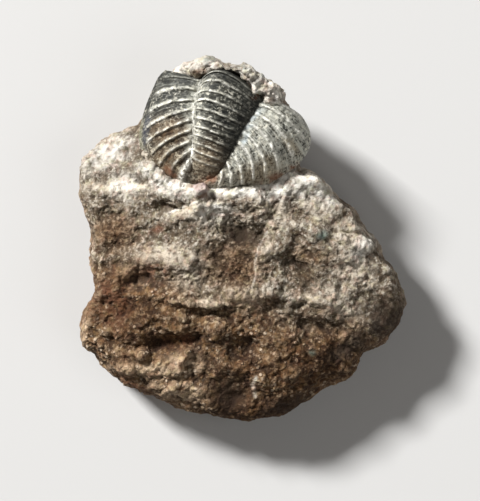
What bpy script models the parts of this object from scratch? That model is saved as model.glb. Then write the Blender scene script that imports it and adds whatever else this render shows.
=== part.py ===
"""Trilobite tail shield on a broken block of limestone, lying on its flat back.

The shield is the fossil: a domed, ribbed cap. The matrix is the stone that holds it, with a
seat cut for the cap. +Y runs from the foot of the stone to the front edge of the shield, +Z is
up, and the origin is on the surface that the stone lies on, under the middle of its box.
Lengths below are in millimetres, angles in degrees.
"""

import math

import bmesh
import bpy
from mathutils import Vector, noise

MM = 0.001

# Stone block
STONE_CENTRE = (-8.0, 2.0)  # every point of the outline can be seen from here
CROWN_TOP = 18.0  # highest part of the stone's face, just below the fossil
CROWN_CENTRE = (-2.0, 4.0)
CROWN_FALL = 0.0044  # how fast the face drops away from the crown, per mm
SHOULDER_SHARE = 0.55  # height of the widest line, as a share of the face's height
BASE_REACH = 0.84  # how far out the flat back reaches, as a share of the outline
FOOT_EVENING = 14.0  # the flat back's edge evens out bays of the outline narrower than this
WALL_EVENING = 7.0  # the walls even out teeth and bays narrower than this
BAY_FILL = 0.35  # how far at most a wall fills a bay of the outline
TOOTH_CUT = 0.8  # how far at most a wall draws back under a tooth of the outline
BRIM_TRAVEL = 9.0  # length of surface from the face down to the widest line
WALL_TRAVEL = 10.0  # length of surface from the widest line down to the flat back
STONE_SUBDIVISIONS = 6
STONE_KEPT = 0.262  # share of the triangles that stay once flat areas are thinned out
LUMP_SIZE = 5.2
LUMP_RISE = 0.75
ROUGH_SIZE = 2.4
ROUGH_RISE = 0.42
WALL_SIZE = 6.5
WALL_PUSH = 0.9
HEAD_RISE = 8.2  # the stone's height over the margin's plane, in front of the axis
HEAD_HALF_WIDTH = 13.5

# Outline of the stone seen from above, anticlockwise: x, y, width of the brim that turns down
STONE_OUTLINE = (
    (29.7, -11.6, 3.6),
    (28.8, -8.2, 2.4),
    (27.7, -4.8, 1.8),
    (25.9, -3.2, 1.6),
    (25.2, -1.2, 1.4),
    (21.6, 1.8, 1.2),
    (20.0, 5.7, 1.2),
    (17.8, 6.6, 1.2),
    (15.5, 9.3, 1.2),
    (13.7, 11.8, 1.2),
    (12.2, 12.1, 1.2),
    (9.3, 12.2, 1.0),
    (10.8, 15.6, 0.8),
    (11.8, 18.5, 0.8),
    (11.2, 20.6, 0.8),
    (9.3, 23.0, 0.8),
    (8.0, 24.0, 1.0),
    (7.4, 26.0, 1.2),
    (7.0, 27.2, 1.2),
    (4.5, 28.3, 1.2),
    (2.7, 29.6, 1.2),
    (1.2, 31.4, 1.2),
    (-0.4, 31.5, 1.2),
    (-2.0, 30.6, 0.7),
    (-4.1, 32.0, 1.0),
    (-5.4, 32.8, 1.2),
    (-6.8, 32.7, 1.2),
    (-8.2, 31.4, 1.2),
    (-10.4, 31.4, 1.2),
    (-11.7, 30.4, 1.0),
    (-13.2, 29.6, 0.8),
    (-14.4, 27.6, 0.8),
    (-15.2, 25.6, 0.8),
    (-16.6, 23.4, 0.8),
    (-17.7, 21.2, 0.8),
    (-19.0, 20.0, 1.0),
    (-21.8, 19.2, 1.6),
    (-25.9, 17.4, 2.0),
    (-29.0, 15.5, 2.0),
    (-29.9, 13.8, 1.8),
    (-29.6, 8.4, 1.4),
    (-28.1, 6.0, 1.2),
    (-26.5, 2.4, 1.2),
    (-26.4, -9.4, 1.2),
    (-27.9, -11.6, 1.6),
    (-29.6, -16.6, 2.6),
    (-29.8, -19.8, 2.6),
    (-26.2, -20.8, 2.4),
    (-25.2, -22.4, 2.6),
    (-21.8, -25.7, 3.0),
    (-17.8, -28.8, 3.2),
    (-14.8, -29.9, 3.2),
    (-11.2, -30.5, 3.2),
    (-7.0, -32.1, 3.4),
    (-4.6, -32.9, 3.4),
    (6.0, -32.9, 3.8),
    (9.9, -30.3, 4.4),
    (14.0, -28.3, 4.6),
    (15.5, -26.7, 4.6),
    (20.2, -24.6, 4.8),
    (23.7, -20.7, 4.8),
    (27.4, -17.2, 5.0),
    (29.8, -14.6, 4.4),
)

# Forms of the stone's face: x, y, half length, half width, turn, rise, edge (2 soft, 6 sharp)
FACE_FORMS = (
    (-22.0, 13.5, 5.5, 4.0, -40, -1.5, 2),  # shoulder that slopes away beside the shield
    (-25.0, 17.5, 5.0, 2.4, 25, -1.4, 2),
    (-15.2, 10.8, 4.6, 1.5, -38, 0.7, 3),  # lip round the foot of the shield
    (-9.6, 7.6, 4.0, 1.3, -10, 0.9, 3),
    (-1.2, 6.7, 5.0, 1.3, 2, 0.8, 3),
    (6.2, 8.3, 3.8, 1.5, 24, 1.0, 3),
    (11.2, 9.8, 3.2, 2.4, -10, 1.0, 3),
    (-7.0, 8.6, 1.9, 1.1, 0, 1.1, 4),  # knob at the tip of the axis
    (-13.2, 5.5, 3.3, 0.9, -4, -1.9, 4),  # slot under the lip
    (-9.2, 4.4, 4.6, 0.9, 24, 0.7, 3),  # rib below the slot
    (-16.6, 1.6, 4.0, 1.2, 30, -0.9, 3),
    (-23.2, 4.6, 3.2, 1.6, -10, -1.0, 2),
    (-1.4, 2.4, 4.6, 2.2, -28, -2.0, 3),  # deep hollow in the middle
    (3.6, 1.2, 1.6, 3.2, 18, -1.1, 3),
    (5.2, 8.2, 1.4, 0.9, 0, -1.0, 2),
    (10.6, 4.2, 2.4, 1.1, -18, -0.9, 3),
    (19.2, 1.0, 1.7, 0.7, -16, -1.1, 4),
    (9.8, -4.9, 2.8, 1.1, -12, -1.5, 3),
    (14.6, -0.6, 3.6, 1.6, -24, 0.7, 3),
    (6.4, -1.2, 2.6, 1.7, 30, 0.8, 3),
    (-12.2, -3.6, 6.2, 2.8, 16, 1.2, 3),  # pale smooth mound
    (-18.6, -6.6, 4.2, 1.5, 8, -1.1, 3),
    (-21.6, -1.0, 3.4, 1.2, 20, -0.8, 3),
    (-4.6, -7.2, 3.4, 1.4, -8, -0.9, 3),
    (-9.2, -10.6, 6.0, 1.6, -12, 0.8, 5),  # ledge
    (-8.6, -13.1, 6.6, 1.3, -10, -1.2, 4),
    (2.6, -9.6, 4.4, 1.5, -6, 0.8, 3),
    (3.2, -13.0, 2.4, 1.6, 0, -1.1, 3),
    (13.4, -10.2, 5.4, 1.8, -34, 0.8, 3),
    (20.6, -7.4, 4.6, 1.0, -38, -0.7, 3),
    (12.6, -15.2, 4.0, 1.3, -14, -1.1, 3),
    (21.0, -13.2, 5.0, 1.4, -26, 0.5, 3),
    (-13.4, -18.7, 5.6, 1.7, 2, -1.9, 4),  # brown hollow above the lower ledge
    (-20.4, -16.6, 2.6, 1.4, 10, 0.9, 3),
    (-16.4, -23.2, 6.6, 1.5, 3, 0.9, 4),  # lower ledge
    (-22.6, -12.2, 2.8, 1.3, -20, -0.9, 3),
    (-5.0, -17.0, 2.6, 2.0, 40, 0.8, 3),
    (1.2, -19.4, 3.2, 1.3, -20, -1.2, 3),
    (7.4, -19.0, 3.8, 1.4, -8, 0.7, 3),
    (-1.4, -27.4, 3.6, 2.8, 30, -1.2, 3),  # smooth scoop at the foot
    (3.4, -25.0, 1.3, 3.0, 24, 0.8, 3),
    (10.2, -24.4, 3.0, 1.2, -16, 0.6, 3),
    (-9.6, -26.6, 3.4, 1.2, -14, 0.6, 3),
    (-8.6, 29.4, 2.0, 1.4, -30, -0.6, 3),  # dip between the left cheek and the axis
    (-5.8, 31.6, 2.0, 1.1, 10, 0.8, 3),  # lumps in front of the shield
    (0.6, 30.6, 1.9, 1.1, -8, 0.9, 3),
    (5.4, 26.4, 2.2, 1.4, -30, 0.9, 3),
)

# Round nodules that stand out of the face: x, y, radius
NODULES = (
    (-17.8, -20.6, 1.05),
    (-9.4, -20.3, 0.75),
    (-10.9, -22.0, 0.6),
    (-14.0, -12.6, 0.6),
    (-16.2, -14.2, 0.55),
    (-5.8, -16.0, 0.6),
    (-3.4, -22.6, 0.65),
    (-11.9, -27.0, 0.65),
)

# Broken faces of the sides and the back: a point on each, and the way it faces
FRACTURES = (
    ((0, -33.2, 9), (-0.15, -0.9, -0.42)),
    ((27.2, -19.0, 7), (0.72, -0.45, -0.5)),
    ((26.6, 1.6, 6), (0.8, 0.36, -0.46)),
    ((-28.8, -6.0, 7), (-0.97, 0.05, -0.32)),
    ((-26.0, -25.0, 6), (-0.6, -0.62, -0.5)),
    ((-28.4, 18.6, 6), (-0.62, 0.6, -0.5)),
    ((-5.0, 32.0, 10), (0.05, 0.9, -0.42)),
    ((15.2, 13.4, 6), (0.62, 0.66, -0.42)),
)

# Shield. Rows run across it and are numbered along the axis: the front edge is row -1, ring n
# has its crest at row n, and row 12 closes behind the tip of the axis.
FRONT_ROW = -1
LAST_ROW = 12
ROWS_PER_RING = 4
RING_COUNT = 11
FIRST_RIB_ROW = -0.4
ROWS_PER_RIB = 1.35
RIB_COUNT = 9
LEFT_COLUMNS = 8
AXIS_COLUMNS = 7
RIGHT_COLUMNS = 8
SEAT_HEIGHT = 17.2  # margin of the shield above the ground, under its middle
SEAT_MIDDLE = (-3.4, 19.0)
SEAT_SLOPE = (0.05, 0.06)  # rise of the margin's plane per mm along X and along Y
RIM_THICKNESS = 0.9
RIM_DEPTH = 4.0  # depth of the cap's side before the vault trims it
SEAT_GAP = 0.32
SEAT_CUT_TOP = 40.0
VAULT_RISE = 5.0  # the stone fills the shield's vault up to this height over the margin
VAULT_MIDDLE = (-2.9, 27.0)
VAULT_LEAN = 0.2  # sideways lean of the vault's middle line, following the axis
VAULT_HALF_WIDTH = 14.2
VAULT_LENGTH = 18.0
VAULT_BOX = (-21.5, 15.5, 5.5, 34.5)  # plan area that the vault's surface spans
VAULT_STEPS = (13, 11)
RIDGE_PEAK = 0.75  # where in its period a ring or a rib is highest
RING_RISE = 0.5
RIB_RISE = 0.5
RIB_FADE_START = 0.72  # the ribs die out here on the way from the axis to the margin
RIB_FADE_END = 0.86  # and leave a smooth border outside
CHEEK_POWER = 2.4

# Plan lines of the shield: row, x, y
LEFT_MARGIN = (
    (-1, -13.7, 30.3),
    (-0.5, -14.8, 29.3),
    (0, -15.5, 28.1),
    (2, -17.6, 23.0),
    (4, -18.5, 18.2),
    (6, -17.6, 14.8),
    (8, -15.1, 11.4),
    (10, -11.2, 9.4),
    (12, -6.8, 8.9),
)
LEFT_FURROW = (
    (-1, -7.2, 28.4),
    (0, -7.6, 27.6),
    (2, -8.3, 25.1),
    (4, -8.7, 22.6),
    (6, -8.7, 19.9),
    (8, -8.9, 17.0),
    (10, -9.2, 14.3),
    (11, -8.6, 12.2),
    (12, -6.8, 10.4),
)
CREST = (
    (-1, -3.1, 29.9),
    (0, -3.2, 29.5),
    (2, -4.6, 26.2),
    (4, -5.4, 22.7),
    (6, -5.5, 19.3),
    (8, -6.1, 16.4),
    (10, -6.2, 13.5),
    (12, -6.8, 10.4),
)
RIGHT_FURROW = (
    (-1, 3.6, 25.3),
    (0, 3.4, 24.9),
    (2, 2.3, 22.8),
    (4, 0.7, 20.4),
    (6, -0.8, 17.9),
    (8, -2.3, 15.0),
    (10, -3.5, 12.9),
    (11, -4.6, 11.4),
    (12, -6.8, 10.4),
)
RIGHT_MARGIN = (
    (-1, 8.4, 23.7),
    (-0.5, 10.7, 22.1),
    (0, 12.2, 19.2),
    (1, 12.0, 16.2),
    (2, 10.2, 13.6),
    (4, 5.9, 10.3),
    (6, 2.1, 9.1),
    (8, -1.0, 8.6),
    (10, -4.0, 8.7),
    (12, -6.8, 8.9),
)
# Height of the crest and of the furrows above the margin's plane: row, crest, furrow
HEIGHTS = (
    (-1, 7.9, 5.6),
    (0, 8.6, 5.9),
    (2, 9.0, 6.2),
    (4, 8.8, 6.3),
    (6, 8.1, 5.9),
    (8, 6.9, 5.2),
    (10, 5.2, 4.1),
    (12, 2.2, 2.2),
)
# How far the ribs bow forward, as a share of their length: row, left, right
BOWS = (
    (-1, 0.02, 0.1),
    (-0.5, 0.08, 0.08),
    (0, 0.15, 0.14),
    (2, 0.17, 0.25),
    (4, 0.14, 0.3),
    (6, 0.15, 0.36),
    (8, 0.28, 0.35),
    (10, 0.25, 0.25),
    (12, 0.0, 0.0),
)


def smoothstep(low, high, value):
    share = min(1.0, max(0.0, (value - low) / (high - low)))
    return share * share * (3 - 2 * share)


def along(rail, row):
    """The rail's values at a row, on a smooth curve through its points."""
    last = len(rail) - 2
    i = max(n for n in range(last + 1) if n == 0 or rail[n][0] <= row)
    before, start = rail[max(i - 1, 0)], rail[i]
    end, after = rail[i + 1], rail[min(i + 2, last + 1)]
    span = end[0] - start[0]
    t = (row - start[0]) / span
    values = []
    for a, b, c, d in zip(before[1:], start[1:], end[1:], after[1:]):
        slope_in = (c - a) / max(end[0] - before[0], 1) * span
        slope_out = (d - b) / max(after[0] - start[0], 1) * span
        values.append(
            (2 * t**3 - 3 * t**2 + 1) * b
            + (t**3 - 2 * t**2 + t) * slope_in
            + (3 * t**2 - 2 * t**3) * c
            + (t**3 - t**2) * slope_out
        )
    return values


# Stone


def polar(x, y):
    """Angle and distance of a point from the stone's centre."""
    dx, dy = x - STONE_CENTRE[0], y - STONE_CENTRE[1]
    return math.atan2(dy, dx), math.hypot(dx, dy)


def outline_table():
    """The outline as rows of angle, distance and brim, once round and a little past both ends."""
    rows = sorted((*polar(x, y), brim) for x, y, brim in STONE_OUTLINE)
    first, last = rows[0], rows[-1]
    turn = 2 * math.pi
    return [(last[0] - turn, *last[1:]), *rows, (first[0] + turn, *first[1:])]


OUTLINE_TABLE = outline_table()


def outline_at(angle):
    """Distance of the outline and width of its brim in this direction."""
    for (a, reach_a, brim_a), (b, reach_b, brim_b) in zip(OUTLINE_TABLE, OUTLINE_TABLE[1:]):
        if a <= angle <= b:
            t = (angle - a) / max(b - a, 1e-9)
            return reach_a + (reach_b - reach_a) * t, brim_a + (brim_b - brim_a) * t
    raise ValueError("angle outside one turn")


def evened_reach(angle, half_width):
    """Distance of the outline, taken as the mean over a few directions to both sides."""
    steps = [math.radians(half_width) * n / 3 for n in range(-3, 4)]
    turn = 2 * math.pi
    reaches = [outline_at(math.remainder(angle + step, turn))[0] for step in steps]
    return sum(reaches) / len(reaches)


def foot_at(angle):
    """Distance of the flat back's edge in this direction: the outline with its bays evened out."""
    return BASE_REACH * evened_reach(angle, FOOT_EVENING)


def wall_shift(angle, reach, height_share):
    """How far a wall stands out from the outline's own line, so that its teeth don't run down it."""
    shift = max(-TOOTH_CUT, min(BAY_FILL, evened_reach(angle, WALL_EVENING) - reach))
    below = smoothstep(SHOULDER_SHARE, SHOULDER_SHARE - 0.2, height_share)
    return shift * below * smoothstep(0.0, 0.15, height_share)


def seat_plane(x, y):
    """Height of the plane that the shield's margin lies in."""
    dx, dy = x - SEAT_MIDDLE[0], y - SEAT_MIDDLE[1]
    return SEAT_HEIGHT + SEAT_SLOPE[0] * dx + SEAT_SLOPE[1] * dy


def vault_height(x, y):
    """Height of the underside of the shield: a smooth vault that runs out to a flat rim."""
    middle = VAULT_MIDDLE[0] + VAULT_LEAN * (y - VAULT_MIDDLE[1])
    across = (x - middle) / VAULT_HALF_WIDTH
    back = min(0.0, y - VAULT_MIDDLE[1]) / VAULT_LENGTH
    rise = VAULT_RISE * (1 - across * across - back * back)
    return seat_plane(x, y) + max(rise, -RIM_THICKNESS)


def form_rise(x, y, form):
    """Rise of one bump, pit or ledge at a point of the face."""
    cx, cy, half_length, half_width, turn, rise, edge = form
    c, s = math.cos(math.radians(turn)), math.sin(math.radians(turn))
    u = ((x - cx) * c + (y - cy) * s) / half_length
    v = ((y - cy) * c - (x - cx) * s) / half_width
    distance = math.hypot(u, v)
    return rise * math.exp(-(distance**edge)) if distance < 3 else 0.0


def face_height(x, y):
    """Height of the stone's upper face, fossil left out."""
    dx, dy = x - CROWN_CENTRE[0], y - CROWN_CENTRE[1]
    height = CROWN_TOP - CROWN_FALL * (dx * dx + dy * dy)
    vault = seat_plane(x, y) + HEAD_RISE * (1 - ((x + 2.5) / HEAD_HALF_WIDTH) ** 2)
    head = smoothstep(11.5, 17.0, y) * smoothstep(15.5, 12.0, abs(x + 2.8))
    height += (vault - height) * head
    height += sum(form_rise(x, y, form) for form in FACE_FORMS)
    spot = Vector((x, y, 0))
    height += LUMP_RISE * noise.fractal(spot / LUMP_SIZE, 0.8, 2.2, 3)
    height += ROUGH_RISE * noise.turbulence(spot / ROUGH_SIZE, 2, True)
    return height


def profile(travel, reach, brim, foot):
    """Distance from the middle and share of the face's height, after a walk over the surface.

    The walk starts at the middle of the face, goes out over the brim, down the wall and back
    to the middle underneath.
    """
    if travel < reach - brim:
        return travel, 1.0
    travel -= reach - brim
    if travel < BRIM_TRAVEL:
        t = math.radians(90) * travel / BRIM_TRAVEL
        out = reach - brim + brim * math.sin(t)
        return out, SHOULDER_SHARE + (1 - SHOULDER_SHARE) * math.cos(t)
    travel -= BRIM_TRAVEL
    if travel < WALL_TRAVEL:
        t = travel / WALL_TRAVEL
        return reach - (reach - foot) * t * t, SHOULDER_SHARE * (1 - t)
    return max(0.0, foot - (travel - WALL_TRAVEL)), 0.0


def stone_point(direction):
    """Moves a point of a unit sphere to the stone's surface."""
    angle = math.atan2(direction.y, direction.x)
    polar_share = math.acos(max(-1.0, min(1.0, direction.z))) / math.pi
    reach, brim = outline_at(angle)
    foot = foot_at(angle)
    whole = reach - brim + BRIM_TRAVEL + WALL_TRAVEL + foot
    out, height_share = profile(polar_share * whole, reach, brim, foot)
    out += wall_shift(angle, reach, height_share)
    x = STONE_CENTRE[0] + out * math.cos(angle)
    y = STONE_CENTRE[1] + out * math.sin(angle)
    point = Vector((x, y, height_share * face_height(x, y)))
    wall = smoothstep(0.0, 0.2, height_share) * smoothstep(1.0, 0.7, height_share)
    push = WALL_PUSH * wall * noise.fractal(point / WALL_SIZE, 0.9, 2.1, 3)
    point += push * Vector((math.cos(angle), math.sin(angle), 0))
    for spot, facing in FRACTURES:
        outward = Vector(facing).normalized()
        beyond = (point - Vector(spot)).dot(outward)
        if beyond > 0:
            point -= outward * beyond
    point.z = max(point.z, 0.0)
    return point * MM


def new_object(name, bm, collection):
    """Turns a bmesh into a named object."""
    mesh = bpy.data.meshes.new(name)
    bm.to_mesh(mesh)
    bm.free()
    obj = bpy.data.objects.new(name, mesh)
    collection.objects.link(obj)
    return obj


def make_stone(collection):
    """The block: a ball of triangles drawn out to the outline, the face and the flat back."""
    bm = bmesh.new()
    bmesh.ops.create_icosphere(bm, subdivisions=STONE_SUBDIVISIONS, radius=1.0)
    for vertex in bm.verts:
        vertex.co = stone_point(vertex.co.normalized())
    bmesh.ops.recalc_face_normals(bm, faces=bm.faces)
    stone = new_object("matrix", bm, collection)
    thin = stone.modifiers.new("Fewer triangles where flat", "DECIMATE")
    thin.ratio = STONE_KEPT
    return stone


def make_nodules(collection):
    """Small balls, half sunk in the face."""
    bm = bmesh.new()
    for x, y, radius in NODULES:
        made = bmesh.ops.create_icosphere(bm, subdivisions=2, radius=radius * MM)
        centre = Vector((x, y, face_height(x, y) + 0.15 * radius)) * MM
        bmesh.ops.translate(bm, verts=made["verts"], vec=centre)
    return new_object("nodules_to_join", bm, collection)


# Shield


def ridge(row, period, first, count):
    """Saw-toothed rise of the rings or the ribs: a slow climb to each crest, then a steep drop."""
    phase = (row - first) / period + RIDGE_PEAK
    if phase < 0 or phase > count:
        return 0.0
    part = phase % 1.0
    if part < RIDGE_PEAK:
        return (part / RIDGE_PEAK) ** 1.5
    return 1 - (part - RIDGE_PEAK) / (1 - RIDGE_PEAK)


def axis_point(row, share):
    """A point of the axis, 0 at its left furrow and 1 at its right one."""
    left, crest, right = along(LEFT_FURROW, row), along(CREST, row), along(RIGHT_FURROW, row)
    top, furrow = along(HEIGHTS, row)
    x, y = (
        (1 - share) ** 2 * a + 2 * share * (1 - share) * (2 * b - (a + c) / 2) + share**2 * c
        for a, b, c in zip(left, crest, right)
    )
    arch = (1 - (2 * share - 1) ** 2) ** 0.75
    rings = RING_RISE * ridge(row, 1.0, 0.0, RING_COUNT) * min(1.0, 1.6 * arch)
    fade = smoothstep(LAST_ROW - 0.5, LAST_ROW - 3.0, row)
    return Vector((x, y, seat_plane(x, y) + furrow + (top - furrow) * arch + rings * fade))


def cheek_point(row, share, left):
    """A point of a ribbed side field, 0 at the axis and 1 at the margin."""
    furrow_line, margin_line = (
        (LEFT_FURROW, LEFT_MARGIN) if left else (RIGHT_FURROW, RIGHT_MARGIN)
    )
    start, end = Vector(along(furrow_line, row)), Vector(along(margin_line, row))
    bow = along(BOWS, row)[0 if left else 1]
    across = end - start
    forward = Vector((across.y, -across.x)) if left else Vector((-across.y, across.x))
    middle = (start + end) / 2 + bow * forward
    spot = (1 - share) ** 2 * start + 2 * share * (1 - share) * middle + share**2 * end
    height = along(HEIGHTS, row)[1] * (1 - share**CHEEK_POWER) ** 0.9
    rib = RIB_RISE * ridge(row, ROWS_PER_RIB, FIRST_RIB_ROW, RIB_COUNT)
    rib *= smoothstep(0.0, 0.12, share) * smoothstep(RIB_FADE_END, RIB_FADE_START, share)
    fade = smoothstep(LAST_ROW - 0.2, LAST_ROW - 2.0, row)
    return Vector((*spot, seat_plane(*spot) + height + rib * fade))


def shield_point(row, column):
    """A point of the shield's upper face. Columns run from the left margin to the right one."""
    if column < LEFT_COLUMNS:
        return cheek_point(row, 1 - column / LEFT_COLUMNS, left=True)
    column -= LEFT_COLUMNS
    if column <= AXIS_COLUMNS:
        return axis_point(row, column / AXIS_COLUMNS)
    return cheek_point(row, (column - AXIS_COLUMNS) / RIGHT_COLUMNS, left=False)


def make_shield(collection):
    """The shield: a grid drawn onto the ribbed dome, made solid and trimmed to the vault."""
    columns = LEFT_COLUMNS + AXIS_COLUMNS + RIGHT_COLUMNS
    rows = (LAST_ROW - FRONT_ROW) * ROWS_PER_RING
    bm = bmesh.new()
    bmesh.ops.create_grid(bm, x_segments=columns, y_segments=rows, size=0.5)
    for vertex in bm.verts:
        row = LAST_ROW - round((vertex.co.y + 0.5) * rows) / ROWS_PER_RING
        column = round((vertex.co.x + 0.5) * columns)
        vertex.co = shield_point(row, column) * MM
    bmesh.ops.remove_doubles(bm, verts=bm.verts, dist=0.02 * MM)
    edge = [e for e in bm.edges if e.is_boundary]
    grown = bmesh.ops.extrude_edge_only(bm, edges=edge)["geom"]
    rim = [g for g in grown if isinstance(g, bmesh.types.BMVert)]
    for vertex in rim:
        x, y = vertex.co.x / MM, vertex.co.y / MM
        vertex.co.z = (seat_plane(x, y) - RIM_DEPTH) * MM
    rim_edges = [g for g in grown if isinstance(g, bmesh.types.BMEdge) and g.is_boundary]
    bmesh.ops.contextual_create(bm, geom=rim_edges)
    bmesh.ops.recalc_face_normals(bm, faces=bm.faces)
    shield = new_object("trilobite", bm, collection)
    shield.data.shade_smooth()
    shield.data.set_sharp_from_angle(angle=math.radians(50))
    return shield


def shield_outline():
    """Plan outline of the shield, anticlockwise from the tip of its tail."""
    steps = range((LAST_ROW - FRONT_ROW) * ROWS_PER_RING)
    columns = LEFT_COLUMNS + AXIS_COLUMNS + RIGHT_COLUMNS
    right = [along(RIGHT_MARGIN, LAST_ROW - n / ROWS_PER_RING) for n in steps]
    front = [shield_point(FRONT_ROW, columns - n).xy for n in range(columns)]
    left = [along(LEFT_MARGIN, FRONT_ROW + n / ROWS_PER_RING) for n in steps]
    return [Vector(spot) for spot in (*right, *front, *left)]


def raise_to_top(bm):
    """Makes the flat or curved sheet in bm the underside of a block with a level top."""
    raised = bmesh.ops.extrude_face_region(bm, geom=bm.faces[:])["geom"]
    for vertex in (g for g in raised if isinstance(g, bmesh.types.BMVert)):
        vertex.co.z = SEAT_CUT_TOP * MM
    bmesh.ops.recalc_face_normals(bm, faces=bm.faces)


def make_space_over_vault(name, drop, collection):
    """A block whose underside is the vault's surface, lowered by drop."""
    west, east, south, north = VAULT_BOX
    bm = bmesh.new()
    bmesh.ops.create_grid(bm, x_segments=VAULT_STEPS[0], y_segments=VAULT_STEPS[1], size=0.5)
    for vertex in bm.verts:
        x = west + (east - west) * (vertex.co.x + 0.5)
        y = south + (north - south) * (vertex.co.y + 0.5)
        vertex.co = Vector((x, y, vault_height(x, y) - drop)) * MM
    bmesh.ops.triangulate(bm, faces=bm.faces)
    raise_to_top(bm)
    return new_object(name, bm, collection)


def make_seat_cutter(collection):
    """A block with the shield's outline, a gap wider all round."""
    outline = shield_outline()
    bm = bmesh.new()
    bmesh.ops.create_circle(bm, cap_ends=True, segments=len(outline), radius=1.0)
    bm.verts.ensure_lookup_table()
    for n, vertex in enumerate(bm.verts):
        ahead = (outline[(n + 1) % len(outline)] - outline[n - 1]).normalized()
        spot = outline[n] + SEAT_GAP * Vector((ahead.y, -ahead.x))
        vertex.co = Vector((*spot, 0.1 * SEAT_HEIGHT)) * MM
    raise_to_top(bm)
    return new_object("seat_cutter", bm, collection)


# Scene


def material(name, colour, roughness):
    made = bpy.data.materials.new(name)
    made.use_nodes = True
    shader = made.node_tree.nodes["Principled BSDF"]
    shader.inputs["Base Color"].default_value = (*colour, 1.0)
    shader.inputs["Roughness"].default_value = roughness
    return made


def combine(obj, operation, other):
    joining = obj.modifiers.new(operation.title(), "BOOLEAN")
    joining.operation = operation
    joining.object = other


def collection_named(name):
    made = bpy.data.collections.new(name)
    bpy.context.scene.collection.children.link(made)
    return made


def main():
    for obj in list(bpy.data.objects):
        bpy.data.objects.remove(obj)
    parts = collection_named("Trilobite fossil")
    helpers = collection_named("Cutters")
    stone = make_stone(parts)
    shield = make_shield(parts)
    nodules = make_nodules(helpers)
    seat = make_seat_cutter(helpers)
    over_vault = make_space_over_vault("space_over_vault", 0.0, helpers)
    over_seat = make_space_over_vault("space_over_seat", SEAT_GAP, helpers)
    for helper in (nodules, seat, over_vault, over_seat):
        helper.hide_render = True
        helper.display_type = "WIRE"
    combine(shield, "INTERSECT", over_vault)
    combine(seat, "INTERSECT", over_seat)
    combine(stone, "UNION", nodules)
    combine(stone, "DIFFERENCE", seat)
    stone.data.materials.append(material("limestone", (0.36, 0.30, 0.23), 0.92))
    shield.data.materials.append(material("fossil_shell", (0.09, 0.09, 0.085), 0.6))


main()
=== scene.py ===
import math

import bmesh
import bpy
import numpy as np
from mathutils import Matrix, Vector, noise
from mathutils.bvhtree import BVHTree


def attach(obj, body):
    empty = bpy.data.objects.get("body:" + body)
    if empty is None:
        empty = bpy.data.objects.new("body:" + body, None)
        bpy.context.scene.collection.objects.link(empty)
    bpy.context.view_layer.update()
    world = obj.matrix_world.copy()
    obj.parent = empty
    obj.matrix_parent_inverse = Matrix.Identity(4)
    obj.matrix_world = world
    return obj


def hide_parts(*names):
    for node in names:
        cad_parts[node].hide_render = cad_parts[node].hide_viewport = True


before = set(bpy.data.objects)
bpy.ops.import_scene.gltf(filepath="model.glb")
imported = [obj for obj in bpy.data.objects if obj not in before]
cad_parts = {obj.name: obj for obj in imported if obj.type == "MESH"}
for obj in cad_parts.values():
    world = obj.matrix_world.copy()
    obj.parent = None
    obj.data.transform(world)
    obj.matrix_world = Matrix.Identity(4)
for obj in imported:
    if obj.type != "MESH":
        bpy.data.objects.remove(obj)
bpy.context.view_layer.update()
mm = 0.001
print("frame loaded")


def smoothStep(low, high, value):
    share = min(1.0, max(0.0, (value - low) / (high - low)))
    return share * share * (3 - 2 * share)


def bell(distance, width):
    return math.exp(-((distance / width) ** 2))


def clump(x, y, z, size, octaves=3):
    # soft noise around 0, size in mm
    return noise.fractal(Vector((x, y, z)) / size, 0.9, 2.1, octaves)


def patch(x, y, spots):
    # how far inside any of the soft ellipses (x, y, half length, half width, turn) a point is
    best = 0.0
    for cx, cy, halfLength, halfWidth, turn in spots:
        c, s = math.cos(math.radians(turn)), math.sin(math.radians(turn))
        u = ((x - cx) * c + (y - cy) * s) / halfLength
        v = ((y - cy) * c - (x - cx) * s) / halfWidth
        best = max(best, math.exp(-((u * u + v * v) ** 1.5)))
    return best


def nearLine(points, corners, width):
    # 1 on the line through the corners, falling off over the width in mm
    best = np.full(len(points), 1000.0)
    for start, end in zip(corners, corners[1:]):
        edge = np.subtract(end, start)
        away = points[:, :2] - start
        share = np.clip(away @ edge / (edge @ edge), 0, 1)
        best = np.minimum(best, np.linalg.norm(away - share[:, None] * edge, axis=1))
    return np.exp(-((best / width) ** 2))


def storeFloats(mesh, name, values):
    layer = mesh.attributes.new(name, "FLOAT", "POINT")
    layer.data.foreach_set("value", np.asarray(values, dtype=np.float32))


def meshArrays(mesh):
    points = np.empty(len(mesh.vertices) * 3, dtype=np.float32)
    mesh.vertices.foreach_get("co", points)
    normals = np.empty(len(mesh.vertices) * 3, dtype=np.float32)
    mesh.vertices.foreach_get("normal", normals)
    ends = np.empty(len(mesh.edges) * 2, dtype=np.int32)
    mesh.edges.foreach_get("vertices", ends)
    return points.reshape(-1, 3).astype(float), normals.reshape(-1, 3), ends.reshape(-1, 2)


def relaxed(points, ends, rounds):
    # every point moved to the mean of its neighbours, again and again
    count = np.bincount(ends.ravel(), minlength=len(points))[:, None]
    for _ in range(rounds):
        total = np.zeros_like(points)
        for axis in range(3):
            total[:, axis] = np.bincount(ends[:, 0], points[ends[:, 1], axis], len(points))
            total[:, axis] += np.bincount(ends[:, 1], points[ends[:, 0], axis], len(points))
        points = 0.5 * points + 0.5 * total / np.maximum(count, 1)
    return points


def finishPiece(bm, name, node, material):
    mesh = bpy.data.meshes.new(name)
    bm.to_mesh(mesh)
    bm.free()
    mesh.shade_smooth()
    piece = bpy.data.objects.new(name, mesh)
    bpy.context.scene.collection.objects.link(piece)
    mesh.materials.append(material)
    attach(piece, "root")
    if node:
        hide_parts(node)
    return piece


def newMaterial(name):
    material = bpy.data.materials.new(name)
    material.use_nodes = True
    tree = material.node_tree
    return material, tree, tree.nodes["Principled BSDF"]


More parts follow.
